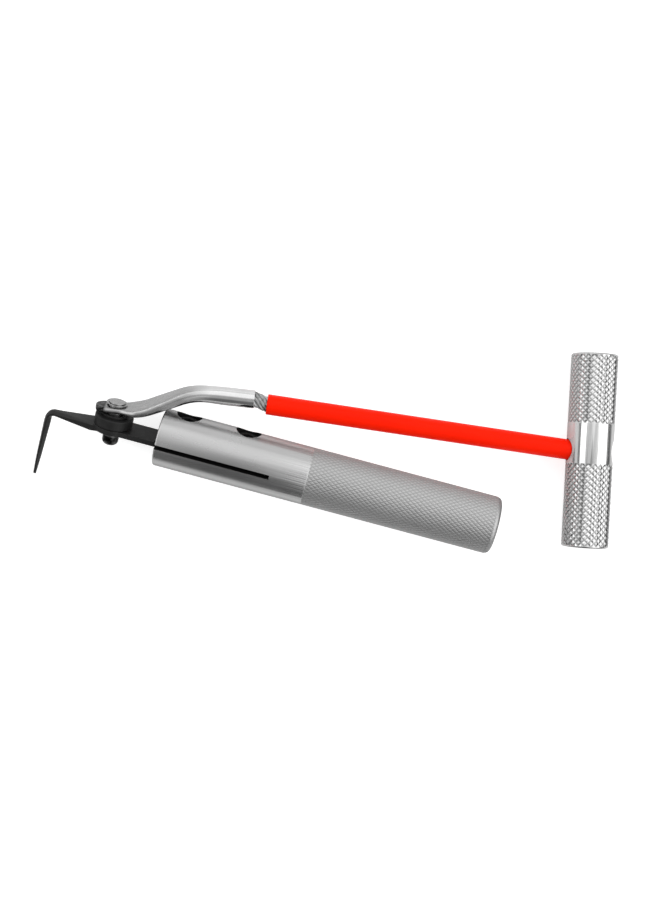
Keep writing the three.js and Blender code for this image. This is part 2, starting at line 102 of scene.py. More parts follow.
PLATE = (-2.5, -0.1)
EYE_RADIUS = 9.3
NECK_HALF_WIDTH = 8
NECK_END = -0.3
TANG = {"half_width": 9.5, "start": -1.2, "end": 52, "half_thickness": 0.8}
TANG_SHOULDER = (-4, 0.0)
TANG_SLOT_RADIUS = 3.5
ARM_Z = -2.1
ARM_WIDTH = {"eye": 12, "bend": 6}
ARM_THICKNESS = {"eye": 3, "bend": 2.7}
BEND_X = -54.6
BEND_RADIUS = 3
LEG_LEAN = math.radians(3.8)
LEG_THICKNESS = {"root": 2.9, "point": 1.9, "tip": 1.3}
LEG_ROOT = 2
LEG_POINT = 10
TIP_WIDTH = 0.8
EDGE_THICKNESS = {"pivot": 2.3, "eye": 2.9, "bend": 0.9, "point": 0.6}
BLADE_BEVEL = 1.8

PIVOT_RADIUS = 3.9
PIVOT_HOLE_RADIUS = PIVOT_RADIUS + 0.3
PIVOT_END = -10.4
PIVOT_END_ROUND = 2.4
PIVOT_HEAD_FOOT = 0.15
PIVOT_HEAD_OVERLAP = 0.4  # how far the shank runs up into the head
PIVOT_HEAD = {"flats": 8.4, "start": 11.5, "rim": 11.9, "top": 13.1}
HEAD_WASHER = {"radius": 5, "low": 11, "high": 11.4}
STRAP_WASHER = {"radius": 6.4, "low": 5, "high": 6.1}
SPACER = {"radius": 9.2, "low": 0, "high": 4.9}
CLAMP_WASHER = {"radius": 5.9, "low": 4.6, "high": 6}
CLAMP_HEAD = {"radius": 5, "low": 6.1, "high": 11.1, "socket": 5, "depth": 3}
CLAMP_HEAD_EDGES = {"foot": 0.15, "rim": 0.5, "crown": 1.2}
CLAMP_SHANK = {"radius": 3, "end": -10, "chamfer": 0.5}

STRAP = {"middle": 8.55, "half_width": 5.5, "half_thickness": 1.4, "end": -9.5, "nose": 5.5, "tip": 0.3}
STRAP_TILT = math.radians(7)
STRAP_NOSE_BEND = -3.5
STRAP_STRAIGHT = 5
LUG_HOLE_RADIUS = 4.5
LUG_RADIUS = 4.35
LUG_WIDE = 8  # half width at the foot of the slope
LUG_WIDENS = (1, 11)  # distances from the pivot
LUG_NARROWS = (13, 45)
LUG_THICKENS = (3, 48)
LUG_SLOPE = math.radians(33)
SLOPE_STRAIGHT = (0.22, 0.76)  # the straight part of the slope, as shares of the way from its foot
# where the dark, mottled colour ends along each plated piece's own x: the lug's nose and the pivot screw's
# lower end
LUG_DARK_ENDS = (-5.6, -4.2)
LUG_POLISH_STARTS = (30, 42)
LUG_BEND = (34.4, 25.2)  # where its slope turns towards the cable: distance from the pivot, and height
LUG_BEND_REACH = 7
LUG_BAR_SLOPE = math.radians(7.2)
LUG_END_R = 63.2
LUG_MOUTH = {"radius": 3.95, "depth": 8}

ROPE_RADIUS = 3.8
ROPE_STEP = 0.8
SLEEVE_STEP = 1.5
SWAGED_RADIUS = 3
STRANDS = {"count": 8, "radius": 0.88, "lay": 24.0}
WIRES = {"count": 6, "radius": 0.3, "lay": 7.5}
SLEEVE = {"outer": 4.9, "inner": 4.1, "lip": 0.35}
FERRULE = {"radius": 4.9, "bore": 3.1, "edge": 0.4, "rounding": 0.3, "dent": 0.28, "dents": 3}
STOP_WASHER = {"radius": 5.6, "bore": 3.3}

# ---- Frames -------------------------------------------------------------------------------------------

JOINTS = {joint["name"]: joint for joint in frame["joints"]}


def joint_place(name):
    return Vector(JOINTS[name]["pos_m"])


def joint_axis(name):
    return Vector(JOINTS[name]["axis"]).normalized()


def basis(origin, x_axis, z_axis):
    """The matrix of a frame with that origin, that x axis and a z axis as near as can be to the one given."""
    x_axis = x_axis.normalized()
    z_axis = (z_axis - x_axis * z_axis.dot(x_axis)).normalized()
    columns = (x_axis, z_axis.cross(x_axis), z_axis, origin)
    matrix = Matrix.Identity(4)
    for column, vector in enumerate(columns):
        for row in range(3):
            matrix[row][column] = vector[row]
    return matrix


HANDLE_LOW, HANDLE_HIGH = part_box("handle_body")
HANDLE_RADIUS = (HANDLE_HIGH.z - HANDLE_LOW.z) / 2 / MM
HANDLE_LENGTH = (HANDLE_HIGH.x - HANDLE_LOW.x) / MM
BENCH_Z = HANDLE_LOW.z

PIVOT = joint_place("pull_swing")
PIVOT_AXIS = joint_axis("pull_swing")
CABLE = joint_axis("t_swivel")
ENTRY = joint_place("t_swivel")

TOOL = basis(Vector((HANDLE_LOW.x, 0, 0)), Vector((1, 0, 0)), PIVOT_AXIS)
PIVOT_X = (PIVOT.x - HANDLE_LOW.x) / MM
ROLL = math.atan2(PIVOT_AXIS.z, PIVOT_AXIS.y)

CABLE_ACROSS = CABLE - PIVOT_AXIS * CABLE.dot(PIVOT_AXIS)
PULL = basis(PIVOT, CABLE_ACROSS, PIVOT_AXIS)
CABLE_FRAME = basis(ENTRY, CABLE, PIVOT_AXIS)
CABLE_SLOPE = math.atan2(CABLE.dot(PIVOT_AXIS), CABLE_ACROSS.length)
ENTRY_IN_PULL = PULL.inverted() @ ENTRY / MM

BAR_LOW, BAR_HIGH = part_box("t_bar")
BAR_RADIUS = (BAR_HIGH.z - BAR_LOW.z) / 2 / MM
BAR_LINE = Vector((-math.sin(BAR_HEADING), math.cos(BAR_HEADING), 0))
BAR = basis((BAR_LOW + BAR_HIGH) / 2, BAR_LINE, CABLE)  # x along the bar, z through its cross hole


def cable_height(r):
    """The height of the cable's line in the pull frame, at distance r from the pivot."""
    return ENTRY_IN_PULL.z + (r - ENTRY_IN_PULL.x) * math.tan(CABLE_SLOPE)


def bar_height(r):
    """The height of the lug's round bar in the pull frame, at distance r from the pivot."""
    return LUG_BEND[1] + (r - LUG_BEND[0]) * math.tan(LUG_BAR_SLOPE)


def cable_distance(r):
    """Distance along the cable, from the T-handle's entry, of the point at distance r from the pivot."""
    return (r - ENTRY_IN_PULL.x) / math.cos(CABLE_SLOPE)


def cable_span(node, radius):
    """Where a round node of that radius starts and ends along the cable, from the T-handle's entry."""
    low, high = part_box(node)
    lean = radius * MM * math.sqrt(1 - CABLE.x**2)
    return tuple((x - ENTRY.x) / CABLE.x / MM for x in (low.x + lean, high.x - lean))


# ---- Mesh tools ---------------------------------------------------------------------------------------


def make(name, points, faces, matrix):
    """A closed mesh object from points in millimetres in the frame given, with its faces pointing out."""
    mesh = bpy.data.meshes.new(name)
    mesh.from_pydata([tuple(float(c) * MM for c in p) for p in points], [], faces)
    built = bmesh.new()
    built.from_mesh(mesh)
    bmesh.ops.recalc_face_normals(built, faces=built.faces)
    built.to_mesh(mesh)
    built.free()
    piece = bpy.data.objects.new(name, mesh)
    bpy.context.scene.collection.objects.link(piece)
    piece.matrix_world = matrix
    return piece


def shade(piece, angle=SHARP):
    piece.data.polygons.foreach_set("use_smooth", [True] * len(piece.data.polygons))
    piece.data.set_sharp_from_angle(angle=angle)
    return piece


def combine(piece, others, operation):
    """Cuts the others from the piece, or joins them to it, and removes them."""
    for other in others:
        modifier = piece.modifiers.new("combine", "BOOLEAN")
        modifier.operation = operation
        modifier.solver = "EXACT"
        modifier.object = other
    bpy.context.view_layer.update()
    mesh = bpy.data.meshes.new_from_object(piece.evaluated_get(bpy.context.evaluated_depsgraph_get()))
    piece.modifiers.clear()
    piece.data = mesh
    for other in others:
        bpy.data.objects.remove(other)
    return piece


def cut(piece, *others):
    return combine(piece, others, "DIFFERENCE")


def join(piece, *others):
    return combine(piece, others, "UNION")


class Turned:
    """A body turned about its x axis, built ring by ring from one end to the other."""

    def __init__(self, columns=FINE):
        self.columns = columns
        self.points = []
        self.faces = []
        self.last = None

    def add(self, x, radius, turn):
        self.points.append((x, radius * math.cos(turn), radius * math.sin(turn)))
        return len(self.points) - 1

    def around(self, x, radii):
        step = 2 * math.pi / self.columns
        return [self.add(x, radius, k * step) for k, radius in enumerate(radii)]

    def tip(self, x):
        self.bridge([self.add(x, 0, 0)] * self.columns)

    def ring(self, x, radius):
        self.bridge(self.around(x, [radius] * self.columns))

    def bridge(self, new):
        """Joins the last ring to a new one. A tip is a ring that repeats one point."""
        if self.last:
            for k in range(self.columns):
                m = (k + 1) % self.columns
                face = [self.last[k], self.last[m], new[m], new[k]]
                face = list(dict.fromkeys(face))
                self.faces.append(face)
        self.last = new

    def arc(self, x, radius, size, start, end, steps=6):
        """A rounded edge: an arc of that size about the point (x, radius), between two angles."""
        for k in range(steps + 1):
            angle = start + (end - start) * k / steps
            self.ring(x + size * math.sin(angle), radius + size * math.cos(angle))

    def knurl(self, start, end, radius, starts, row, depth, flat):
        """Flat-topped diamonds between two places, cut by two crossing sets of grooves."""
        rows = 2 * max(1, round((end - start) / row / 2))
        step = self.columns // (2 * starts)
        pitch = (end - start) / rows
        grooved = []
        for k in range(self.columns):
            rise = abs((k / step + 1) % 2 - 1)
            grooved.append(radius - depth * (1 - rise))
        valley = radius - depth

        def corner(column, level):
            column %= 2 * starts
            if level in (0, rows):
                return edge[level][column * step]
            if (column, level) not in inner:
                inner[column, level] = self.add(start + level * pitch, valley, column * math.pi / starts)
            return inner[column, level]

        inner = {}
        edge = {0: self.around(start, grooved)}
        self.bridge(edge[0])
        edge[rows] = self.around(end, grooved)
        for level in range(1, rows):
            for column in range(1 - level % 2, 2 * starts, 2):
                self.diamond(
                    [(column - 1, level), (column, level + 1), (column + 1, level), (column, level - 1)],
                    corner,
                    (start + level * pitch, column * math.pi / starts),
                    (pitch * flat, math.pi / starts * flat),
                    radius,
                )
        for level, inside in ((0, 1), (rows, rows - 1)):
            for column in range(1, 2 * starts, 2):
                middle = column * step
                for side in (range(middle - step, middle + 1), range(middle, middle + step + 1)):
                    outer = [edge[level][k % self.columns] for k in side]
                    self.faces.append(outer + [corner(column, inside)])
        self.last = edge[rows]

    def diamond(self, places, corner, centre, reach, radius):
        outer = [corner(*place) for place in places]
        x, turn = centre
        run, swing = reach
        top = [
            self.add(x, radius, turn - swing),
            self.add(x + run, radius, turn),
            self.add(x, radius, turn + swing),
            self.add(x - run, radius, turn),
        ]
        self.faces.append(top)
        for k in range(4):
            m = (k + 1) % 4
            self.faces.append([outer[k], outer[m], top[m], top[k]])

    def made(self, name, matrix):
        return make(name, self.points, self.faces, matrix)


def along_z(matrix):
    """A frame whose x axis is the z axis of the one given, for bodies turned about z."""
    return matrix @ Matrix.Rotation(-math.pi / 2, 4, "Y")


def shift(matrix, x=0.0, y=0.0, z=0.0):
    return matrix @ Matrix.Translation(Vector((x, y, z)) * MM)


def rod(name, matrix, radius, low, high, columns=FINE):
    body = Turned(columns)
    body.tip(low)
    body.ring(low, radius)
    body.ring(high, radius)
    body.tip(high)
    return body.made(name, matrix)


def washer(name, matrix, size, bore, edge=0.12):
    """A flat ring with broken edges."""
    body = Turned()
    low, high, radius = size["low"], size["high"], size["radius"]
    body.ring(low, bore + edge)
    body.ring(low, radius - edge)
    body.ring(low + edge, radius)
    body.ring(high - edge, radius)
    body.ring(high, radius - edge)
    body.ring(high, bore + edge)
    body.ring(high - edge, bore)
    body.ring(low + edge, bore)
    body.bridge(list(range(body.columns)))
    return body.made(name, matrix)


def loft(name, rings, matrix):
    """A closed body through rings of points, each with as many points as the next."""
    count = len(rings[0])
    points = [point for ring in rings for point in ring]
    faces = []
    for k in range(len(rings) - 1):
        for i in range(count):
            j = (i + 1) % count
            faces.append([k * count + i, k * count + j, (k + 1) * count + j, (k + 1) * count + i])
    last = (len(rings) - 1) * count
    faces.append(list(range(count)))
    faces.append([last + i for i in range(count)])
    return make(name, points, faces, matrix)


def box(name, x, y, z, matrix):
    rings = [[(a, y[0], z[0]), (a, y[1], z[0]), (a, y[1], z[1]), (a, y[0], z[1])] for a in x]
    return loft(name, rings, matrix)


# ---- Handle -------------------------------------------------------------------------------------------


def handle_bar():
    """The round bar: a smooth front, then the knurled grip."""
    radius = HANDLE_RADIUS
    body = Turned(4 * GRIP_KNURL["starts"])
    body.tip(0)
    body.arc(FRONT_EDGE, radius - FRONT_EDGE, FRONT_EDGE, -math.pi / 2, 0)
    body.ring(GRIP_START / 2, radius)
    body.ring(GRIP_START, radius)
    edge = BUTT_EDGE - GRIP_KNURL["depth"]
    body.knurl(GRIP_START + GRIP_RUN_IN, HANDLE_LENGTH - edge, radius, **GRIP_KNURL)
    body.arc(HANDLE_LENGTH - edge, radius - BUTT_EDGE, edge, math.radians(8), math.pi / 2)
    body.tip(HANDLE_LENGTH)
    return body.made("handle", TOOL)


def clamp_places():
    """Where each clamp screw sits, from the handle's front face."""
    for place in ("front", "rear"):
        low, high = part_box(f"clamp_screw_{place}")
        yield place, ((low.x + high.x) / 2 - HANDLE_LOW.x) / MM


def handle():
    """The bar with its slit, counterbores and screw holes, which are painted black inside for the shade
    there.
    """
    far = 2 * HANDLE_RADIUS
    half = SLIT_WIDTH / 2
    cutters = [box("slit", (-5, SLIT_LENGTH), (-far, far), (-half, half), TOOL)]
    for _, x in clamp_places():
        at = along_z(shift(TOOL, x, CLAMP_SIDE))
        cutters.append(rod("counterbore", at, COUNTERBORE_RADIUS, COUNTERBORE_FLOOR, far))
        cutters.append(rod("bore", at, CLAMP_BORE_RADIUS, CLAMP_BORE_END, COUNTERBORE_FLOOR + BEYOND))
    piece = cut(handle_bar(), *cutters)
    piece.data.materials.append(turned_aluminium())
    piece.data.materials.append(painted_shade_black())
    for face in piece.data.polygons:
        x, y, z = face.center / MM
        at_end = x < FRONT_EDGE or x > HANDLE_LENGTH - BUTT_EDGE
        inside = math.hypot(y, z) < HANDLE_RADIUS - SKIN
        # Painted shade: faces inside the slit and the bores, away from the ends, take the black material.
        face.material_index = 1 if inside and not at_end else 0
    return shade(piece, SHARP_KNURL)


# ---- Hook blade ---------------------------------------------------------------------------------------


def blade_section(x, z, turn, width, thickness, edge):
    """Eight points round the blade at a station of its path. Both side edges are bevelled."""
    half = width / 2
    flat = half - min(BLADE_BEVEL, half * 0.7)
    outline = [(flat, thickness / 2), (half, edge / 2), (half, -edge / 2), (flat, -thickness / 2)]
    outline += [(-side, up) for side, up in reversed(outline)]
    return [(x - up * math.sin(turn), side, z + up * math.cos(turn)) for side, up in outline]


def arm_and_leg():
    """The arm from the pivot's eye to the bend, and the leg from there down to the bench."""
    bend = math.pi / 2 - LEG_LEAN
    centre_x = BEND_X + BEND_RADIUS
    centre_z = ARM_Z - BEND_RADIUS
    wide = ARM_WIDTH["eye"]
    thin = EDGE_THICKNESS["bend"]
    eye_x = PIVOT_X - EYE_RADIUS
    rings = [
        blade_section(PIVOT_X, sum(PLATE) / 2, 0, wide, PLATE[1] - PLATE[0], EDGE_THICKNESS["pivot"]),
        blade_section(eye_x, ARM_Z, 0, wide, ARM_THICKNESS["eye"], EDGE_THICKNESS["eye"]),
    ]
    steps = 14
    for k in range(steps + 1):
        turn = bend * k / steps
        x = centre_x - BEND_RADIUS * math.sin(turn)
        z = centre_z + BEND_RADIUS * math.cos(turn)
        rings.append(blade_section(x, z, turn, ARM_WIDTH["bend"], ARM_THICKNESS["bend"], thin))
    tip_z = (TIP_WIDTH / 2 * math.cos(ROLL) - HANDLE_RADIUS) / math.sin(ROLL)
    length = (z - tip_z) / math.cos(LEG_LEAN)
    leg = (
        (LEG_ROOT, ARM_WIDTH["bend"], LEG_THICKNESS["root"], thin),
        (length - LEG_POINT, ARM_WIDTH["bend"], LEG_THICKNESS["point"], EDGE_THICKNESS["point"]),
        (length, TIP_WIDTH, LEG_THICKNESS["tip"], EDGE_THICKNESS["point"]),
    )
    for distance, width, thickness, edge in leg:
        down_x = x - math.sin(LEG_LEAN) * distance
        down_z = z - math.cos(LEG_LEAN) * distance
        rings.append(blade_section(down_x, down_z, bend, width, thickness, edge))
    return loft("arm", rings, TOOL)


def blade():
    """The hook blade in one piece: arm and leg, eye, neck, and the tang that the handle clamps."""
    neck = box("neck", (PIVOT_X, NECK_END), (-NECK_HALF_WIDTH, NECK_HALF_WIDTH), PLATE, TOOL)
    thick = TANG["half_thickness"]
    side = TANG["half_width"]
    tang = box("tang", (TANG["start"], TANG["end"]), (-side, side), (-thick, thick), TOOL)
    at = shift(TOOL, PIVOT_X)
    eye = rod("eye", along_z(at), EYE_RADIUS, PLATE[0], PLATE[1], 128)
    # In front of the handle the tang is only as wide as the neck.
    front = box("shoulder", TANG_SHOULDER, (-10, -NECK_HALF_WIDTH), (-1, 1), TOOL)
    back = box("shoulder", TANG_SHOULDER, (NECK_HALF_WIDTH, 10), (-1, 1), TOOL)
    slots = []
    for _, x in clamp_places():
        slots.append(rod("slot", along_z(shift(TOOL, x, CLAMP_SIDE)), TANG_SLOT_RADIUS, -5, 5, 48))
    tang = cut(tang, front, back, *slots)
    piece = join(arm_and_leg(), eye, neck, tang)
    piece = cut(piece, rod("hole", along_z(at), PIVOT_HOLE_RADIUS, -THROUGH, THROUGH))
    piece.name = "blade"
    piece.data.materials.append(black_oxide())
    return shade(piece)


# ---- Screws, washers and spacer -----------------------------------------------------------------------


def hexagon(name, flats, low, high, matrix):
    return rod(name, matrix, flats / math.sqrt(3), low, high, 6)


def clamp_screw(name, matrix):
    """A socket-head screw with a broken rim and a plain shank."""
    head = CLAMP_HEAD
    rim, foot, crown = CLAMP_HEAD_EDGES["rim"], CLAMP_HEAD_EDGES["foot"], CLAMP_HEAD_EDGES["crown"]
    end, chamfer = CLAMP_SHANK["end"], CLAMP_SHANK["chamfer"]
    body = Turned()
    body.tip(end)
    body.ring(end, CLAMP_SHANK["radius"] - chamfer)
    body.ring(end + chamfer, CLAMP_SHANK["radius"])
    body.ring(head["low"], CLAMP_SHANK["radius"])
    body.ring(head["low"], head["radius"] - foot)
    body.ring(head["low"] + foot, head["radius"])
    body.arc(head["high"] - rim, head["radius"] - rim, rim, 0, math.pi / 2)
    body.ring(head["high"], head["radius"] - crown)
    body.tip(head["high"])
    screw = body.made(name, matrix)
    floor = head["high"] - head["depth"]
    return cut(screw, hexagon("socket", head["socket"], floor, head["high"] + BEYOND, matrix))


def pivot_screw():
    """A low hexagon head with a domed top, on a plain shank with a rounded end."""
    at = along_z(shift(TOOL, PIVOT_X))
    start, rim, top = PIVOT_HEAD["start"], PIVOT_HEAD["rim"], PIVOT_HEAD["top"]
    corner = PIVOT_HEAD["flats"] / math.sqrt(3)
    dome = Turned()
    dome.tip(start)
    dome.ring(start, corner * 0.96)
    dome.ring(start + PIVOT_HEAD_FOOT, corner)
    steps = 10
    low = rim - 0.5
    for k in range(steps + 1):
        inward = k / steps
        rise = math.sin(inward * math.pi / 2) ** 0.8
        dome.ring(low + (top - low) * rise, corner * (1 - inward * 0.97))
    dome.tip(top)
    dome_body = dome.made("pivot_bolt", at)
    flats = hexagon("flats", PIVOT_HEAD["flats"], start - BEYOND, top + BEYOND, at)
    head = combine(dome_body, [flats], "INTERSECT")
    rounding = PIVOT_END_ROUND
    shank = Turned()
    shank.tip(PIVOT_END)
    shank.arc(PIVOT_END + rounding, PIVOT_RADIUS - rounding, rounding, -math.pi / 2, 0, 8)
    shank.ring(start + PIVOT_HEAD_OVERLAP, PIVOT_RADIUS)
    shank.tip(start + PIVOT_HEAD_OVERLAP)
    return join(head, shank.made("shank", at))


# ---- Lug, rope and sleeve -----------------------------------------------------------------------------


def crossing(a, slope_a, b, slope_b):
    """Where two lines in the r-z plane cross, each given by a point and a slope."""
    r = (b[1] - a[1] + slope_a * a[0] - slope_b * b[0]) / (slope_a - slope_b)
    return np.array((r, a[1] + slope_a * (r - a[0])))


def progress(value, low, high):
    """How far the value has gone from low to high, from 0 to 1."""
    return min(1.0, max(0.0, (value - low) / (high - low)))


def smooth(value, low, high):
    t = progress(value, low, high)
    return t * t * (3 - 2 * t)


def strap_point(r):
    return np.array((r, STRAP["middle"] + r * math.tan(STRAP_TILT)))


def bar_point(r):
    return np.array((r, bar_height(r)))


def lug_line(step=0.5):
    """Points along the lug's middle: a tipped flat on the pivot, up a slope, then a straight bar."""
    bend = np.array(LUG_BEND)
    foot = crossing((0, STRAP["middle"]), math.tan(STRAP_TILT), bend, math.tan(LUG_SLOPE))
    slope_start, slope_end = (foot + (bend - foot) * part for part in SLOPE_STRAIGHT)
    nose, strap_end = strap_point(STRAP["end"]), strap_point(STRAP_STRAIGHT)
    bar_start = bar_point(LUG_BEND[0] + LUG_BEND_REACH)
    mouth = bar_point(LUG_END_R)
    line = [nose]
    line += curve(nose, strap_point(STRAP_NOSE_BEND), strap_end, step)
    line += curve(strap_end, foot, slope_start, step)
    line += curve(slope_start, (slope_start + slope_end) / 2, slope_end, step)
    line += curve(slope_end, bend, bar_start, step)
    line += curve(bar_start, (bar_start + mouth) / 2, mouth, step)
    return line


def curve(start, pull, end, step):
    """Points on a quadratic curve, without its start."""
    count = max(2, round(np.linalg.norm(end - start) / step))
    shares = [k / count for k in range(1, count + 1)]
    return [start * (1 - t) ** 2 + pull * 2 * t * (1 - t) + end * t * t for t in shares]


def lug_ring(point, tangent, half_width, half_thickness, count=56):
    """A tube section pressed flat at the pivot end and round towards the cable."""
    ring = []
    for k in range(count):
        angle = (k + 0.5) / count * 2 * math.pi
        flat = (half_width - half_thickness) * math.copysign(1, math.cos(angle))
        side = flat + half_thickness * math.cos(angle)
        up = half_thickness * math.sin(angle)
        ring.append((point[0] - tangent[1] * up, side, point[1] + tangent[0] * up))
    return ring


def lug_size(r):
    """The lug's half width and half thickness at distance r from the pivot. Its nose is rounded in plan."""
    back = 1 - progress(r, STRAP["end"], STRAP["end"] + STRAP["nose"])
    width = STRAP["half_width"] * (STRAP["tip"] + (1 - STRAP["tip"]) * math.sqrt(1 - back * back))
    width += (LUG_WIDE - width) * smooth(r, *LUG_WIDENS)
    width += (LUG_RADIUS - width) * smooth(r, *LUG_NARROWS)
    thickness = STRAP["half_thickness"]
    thickness += (LUG_RADIUS - thickness) * progress(r, *LUG_THICKENS)
    return width, thickness


def lug():
    """The cable's lug, with a hole for the pivot screw and a mouth for the rope."""
    line = lug_line()
    rings = []
    for k, point in enumerate(line):
        ahead = line[min(k + 1, len(line) - 1)] - line[max(k - 1, 0)]
        tangent = ahead / np.linalg.norm(ahead)
        rings.append(lug_ring(point, tangent, *lug_size(point[0])))
    piece = loft("lug", rings, PULL)
    mouth = shift(PULL, LUG_END_R, 0, bar_height(LUG_END_R)) @ Matrix.Rotation(-LUG_BAR_SLOPE, 4, "Y")
    bore = rod("mouth", mouth, LUG_MOUTH["radius"], -LUG_MOUTH["depth"], 5)
    eye = rod("eye", along_z(PULL), LUG_HOLE_RADIUS, -THROUGH, THROUGH)
    piece = cut(piece, eye, bore)
    piece.data.materials.append(plated_steel())
    return shade(piece)


def helix(start, end, radius, lay, phase, step):
    """Points of a helix about the x axis, and the outward and sideways directions at each."""
    count = max(2, math.ceil((end - start) / step))
    x = np.linspace(start, end, count + 1)
    turn = phase + 2 * math.pi * x / lay
    zero = np.zeros_like(x)
    outward = np.stack((zero, np.cos(turn), np.sin(turn)), 1)
    rate = 2 * math.pi * radius / lay
    forward = np.stack((zero + 1, -rate * np.sin(turn), rate * np.cos(turn)), 1)
    forward /= np.linalg.norm(forward, axis=1)[:, None]
    points = np.stack((x, zero, zero), 1) + outward * radius
    return points, outward, np.cross(forward, outward)


def tube_rings(points, outward, sideways, radius, sides, lay=None, offset=0.0, phase=0.0):
    """Rings of a thin tube along a line. With a lay, the tube itself winds about that line."""
    length = np.concatenate(((0,), np.cumsum(np.linalg.norm(np.diff(points, axis=0), axis=1))))
    if lay:
        turn = (phase + 2 * math.pi * length / lay)[:, None]
        points = points + (outward * np.cos(turn) + sideways * np.sin(turn)) * offset
    rings = []
    for k in range(len(points)):
        ring = []
        for side in range(sides):
            angle = 2 * math.pi * side / sides
            ring.append(points[k] + (outward[k] * math.cos(angle) + sideways[k] * math.sin(angle)) * radius)
        rings.append(ring)
    return rings


def add_tube(points, faces, rings):
    count = len(rings[0])
    first = len(points)
    for ring in rings:
        points.extend(ring)
    for k in range(len(rings) - 1):
        for i in range(count):
            j = (i + 1) % count
            a = first + k * count
            faces.append([a + i, a + j, a + count + j, a + count + i])
    last = first + (len(rings) - 1) * count
    faces.append([first + i for i in range(count)])
    faces.append([last + i for i in range(count)])


def dip(points):
    """Lifts the rope's end onto the lug's line, from which it dips to the cable's line at the sleeve."""
    sleeve_at = cable_span("sleeve_front", SLEEVE["outer"])[0]
    for point in points:
        r = ENTRY_IN_PULL.x + point[0] * math.cos(CABLE_SLOPE)
        away = smooth(point[0], cable_distance(LUG_END_R), sleeve_at)
        point[2] += (bar_height(r) - cable_height(r)) * (1 - away)


def rope():
    """A wire rope: strands laid round a core, and each strand of wires laid round its own middle."""
    start = cable_distance(LUG_END_R) - LUG_MOUTH["depth"] + 0.5
    end = cable_span("cable_rear", SWAGED_RADIUS)[1]
    full_end = BAR_ENTRY["depth"] - 0.5
    points = []
    faces = []
    circle = ROPE_RADIUS - STRANDS["radius"]
    for strand in range(STRANDS["count"]):
        phase = 2 * math.pi * strand / STRANDS["count"]
        middle = helix(start, full_end, circle, STRANDS["lay"], phase, ROPE_STEP)
        add_tube(points, faces, tube_rings(*middle, STRANDS["radius"] - WIRES["radius"] * 1.2, 6))
        for wire in range(WIRES["count"]):
            turn = 2 * math.pi * wire / WIRES["count"]
            reach = STRANDS["radius"] - WIRES["radius"]
            rings = tube_rings(*middle, WIRES["radius"], 6, -WIRES["lay"], reach, turn)
            add_tube(points, faces, rings)
    core = helix(start, end, 0.001, STRANDS["lay"], 0, 2)
    add_tube(points, faces, tube_rings(*core, SWAGED_RADIUS - 0.2, 24))
    dip(points)
    piece = make("rope", points, faces, CABLE_FRAME)
    piece.data.materials.append(rope_steel())
    return shade(piece, SHARP_ROPE)


def sleeve():
    """The plastic sleeve, in one length from near the lug to inside the T-handle."""
    start = cable_span("sleeve_front", SLEEVE["outer"])[0]
    end = cable_span("sleeve_rear", SLEEVE["outer"])[1]
    outer, inner, lip = SLEEVE["outer"], SLEEVE["inner"], SLEEVE["lip"]
    body = Turned()
    body.arc(start + lip, outer - lip, lip, -math.pi / 2, 0, 4)
    steps = round((end - start) / SLEEVE_STEP)
    for k in range(1, steps):
        body.ring(start + (end - start) * k / steps, outer)
    body.arc(end - lip, outer - lip, lip, 0, math.pi / 2, 4)
    for k in range(steps + 1):
        body.ring(end - (end - start) * k / steps, inner)
    body.bridge(list(range(body.columns)))
    piece = body.made("sleeve", CABLE_FRAME)
    piece.data.materials.append(red_plastic())
    return shade(piece)


def ferrule():
    """The crimped ferrule that holds the rope in the T-handle, squeezed by shallow dies."""
    start, end = cable_span("stop_ferrule", FERRULE["radius"])
    radius, edge, rounding = FERRULE["radius"], FERRULE["edge"], FERRULE["rounding"]
    body = Turned()
    body.ring(start, FERRULE["bore"])
    body.ring(start, radius - edge)
    steps = 48
    for k in range(steps + 1):
        part = k / steps
        wave = math.sin(part * FERRULE["dents"] * math.pi * 2 - math.pi / 2)
        dent = FERRULE["dent"] * max(0.0, wave) ** 0.5
        body.ring(start + rounding + (end - start - 2 * rounding) * part, radius - dent)
    body.ring(end, radius - edge)
    body.ring(end, FERRULE["bore"])
    body.bridge(list(range(body.columns)))
    return body.made("ferrule", CABLE_FRAME)


def stop_washer():
    low, high = cable_span("stop_washer", STOP_WASHER["radius"])
    size = {"radius": STOP_WASHER["radius"], "low": low, "high": high}
    return washer("stop_ring", CABLE_FRAME, size, STOP_WASHER["bore"])


# ---- T-handle -----------------------------------------------------------------------------------------


def t_handle():
    """A coarsely knurled bar with a polished band in the middle and slightly domed ends."""
    half = BAR_LENGTH / 2
    shoulder = half - BAR_DOME - BAR_EDGE
    flat = BAR_RADIUS - BAR_EDGE
    band_low, band_high = BAR_BAND
    body = Turned(6 * BAR_KNURL["starts"])
    body.tip(-half)
    body.ring(-half + BAR_DOME * 0.3, flat * 0.5)
    body.arc(-shoulder, flat, BAR_EDGE, -math.pi / 2, -BAR_END_SLOPE)
    body.knurl(-shoulder, band_low - BAR_RUN_IN, BAR_RADIUS, **BAR_KNURL)
    body.ring(band_low, BAR_RADIUS)
    body.ring(band_high, BAR_RADIUS)
    body.knurl(band_high + BAR_RUN_IN, shoulder, BAR_RADIUS, **BAR_KNURL)
    body.arc(shoulder, flat, BAR_EDGE, BAR_END_SLOPE, math.pi / 2)
    body.ring(half - BAR_DOME * 0.3, flat * 0.5)
    body.tip(half)
    at = along_z(BAR)
    floor = BAR_ENTRY["depth"] - BAR_RADIUS
    web_end = floor + BAR_WEB["thickness"]
    piece = cut(
        body.made("t_grip", BAR),
        rod("entry", at, BAR_ENTRY["radius"], -2 * BAR_RADIUS, floor),
        rod("web", at, BAR_WEB["hole"], floor - BEYOND, web_end + BEYOND),
        rod("counterbore", at, BAR_COUNTERBORE, web_end, 2 * BAR_RADIUS),
    )
    piece.data.materials.append(chrome())
    return shade(piece, SHARP_COARSE_KNURL)


# ---- Materials ----------------------------------------------------------------------------------------


